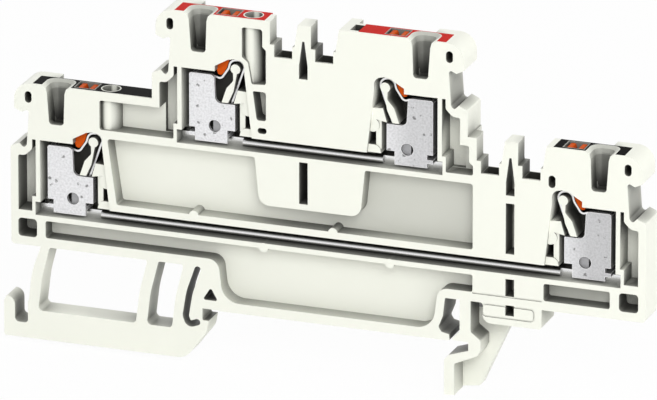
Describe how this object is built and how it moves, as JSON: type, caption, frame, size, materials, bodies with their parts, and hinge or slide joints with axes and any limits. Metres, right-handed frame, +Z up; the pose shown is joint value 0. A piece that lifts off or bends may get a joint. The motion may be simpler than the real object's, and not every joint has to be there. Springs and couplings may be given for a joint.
{
  "type": "double level terminal block",
  "caption": "Slim rail-mounted terminal block with stacked push-in clamps on two levels, a rigid rail foot and a sprung one, and jumper channels.",
  "frame": {"origin": "on the rail's top face, at the rail's centre line and at mid-thickness of the block", "axes": "+X along the block towards its sprung foot, +Y across its thickness towards the closed side, +Z up from the rail"},
  "size_m": [0.0896, 0.0052, 0.0488],
  "materials": {
    "housing": "fine satin",
    "busbar": "tinned",
    "cage": "dull, grained",
    "spring": "bright",
    "pusher": "satin",
    "strip_red": "satin",
    "strip_black": "satin"
  },
  "bodies": {
    "block": {"housing": "housing", "upper_busbar": "busbar", "lower_busbar": "busbar", "clamp_cage_upper_left": "cage", "clamp_spring_upper_left": "spring", "marking_strip_upper_left": "strip_red", "clamp_cage_upper_right": "cage", "clamp_spring_upper_right": "spring", "marking_strip_upper_right": "strip_red", "clamp_cage_lower_left": "cage", "clamp_spring_lower_left": "spring", "marking_strip_lower_left": "strip_black", "clamp_cage_lower_right": "cage", "clamp_spring_lower_right": "spring", "marking_strip_lower_right": "strip_black"},
    "pusher_upper_left": {"release_pusher_upper_left": "pusher"},
    "pusher_upper_right": {"release_pusher_upper_right": "pusher"},
    "pusher_lower_left": {"release_pusher_lower_left": "pusher"},
    "pusher_lower_right": {"release_pusher_lower_right": "pusher"}
  },
  "joints": [
    {"name": "press_upper_left", "type": "slide", "parent": "block", "child": "pusher_upper_left", "axis": [0, 0, -1], "range_m": [0, 0.0016], "stiffness_N_per_m": 5000, "deforming": ["clamp_spring_upper_left"]},
    {"name": "press_upper_right", "type": "slide", "parent": "block", "child": "pusher_upper_right", "axis": [0, 0, -1], "range_m": [0, 0.0016], "stiffness_N_per_m": 5000, "deforming": ["clamp_spring_upper_right"]},
    {"name": "press_lower_left", "type": "slide", "parent": "block", "child": "pusher_lower_left", "axis": [0, 0, -1], "range_m": [0, 0.0016], "stiffness_N_per_m": 5000, "deforming": ["clamp_spring_lower_left"]},
    {"name": "press_lower_right", "type": "slide", "parent": "block", "child": "pusher_lower_right", "axis": [0, 0, -1], "range_m": [0, 0.0016], "stiffness_N_per_m": 5000, "deforming": ["clamp_spring_lower_right"]}
  ]
}
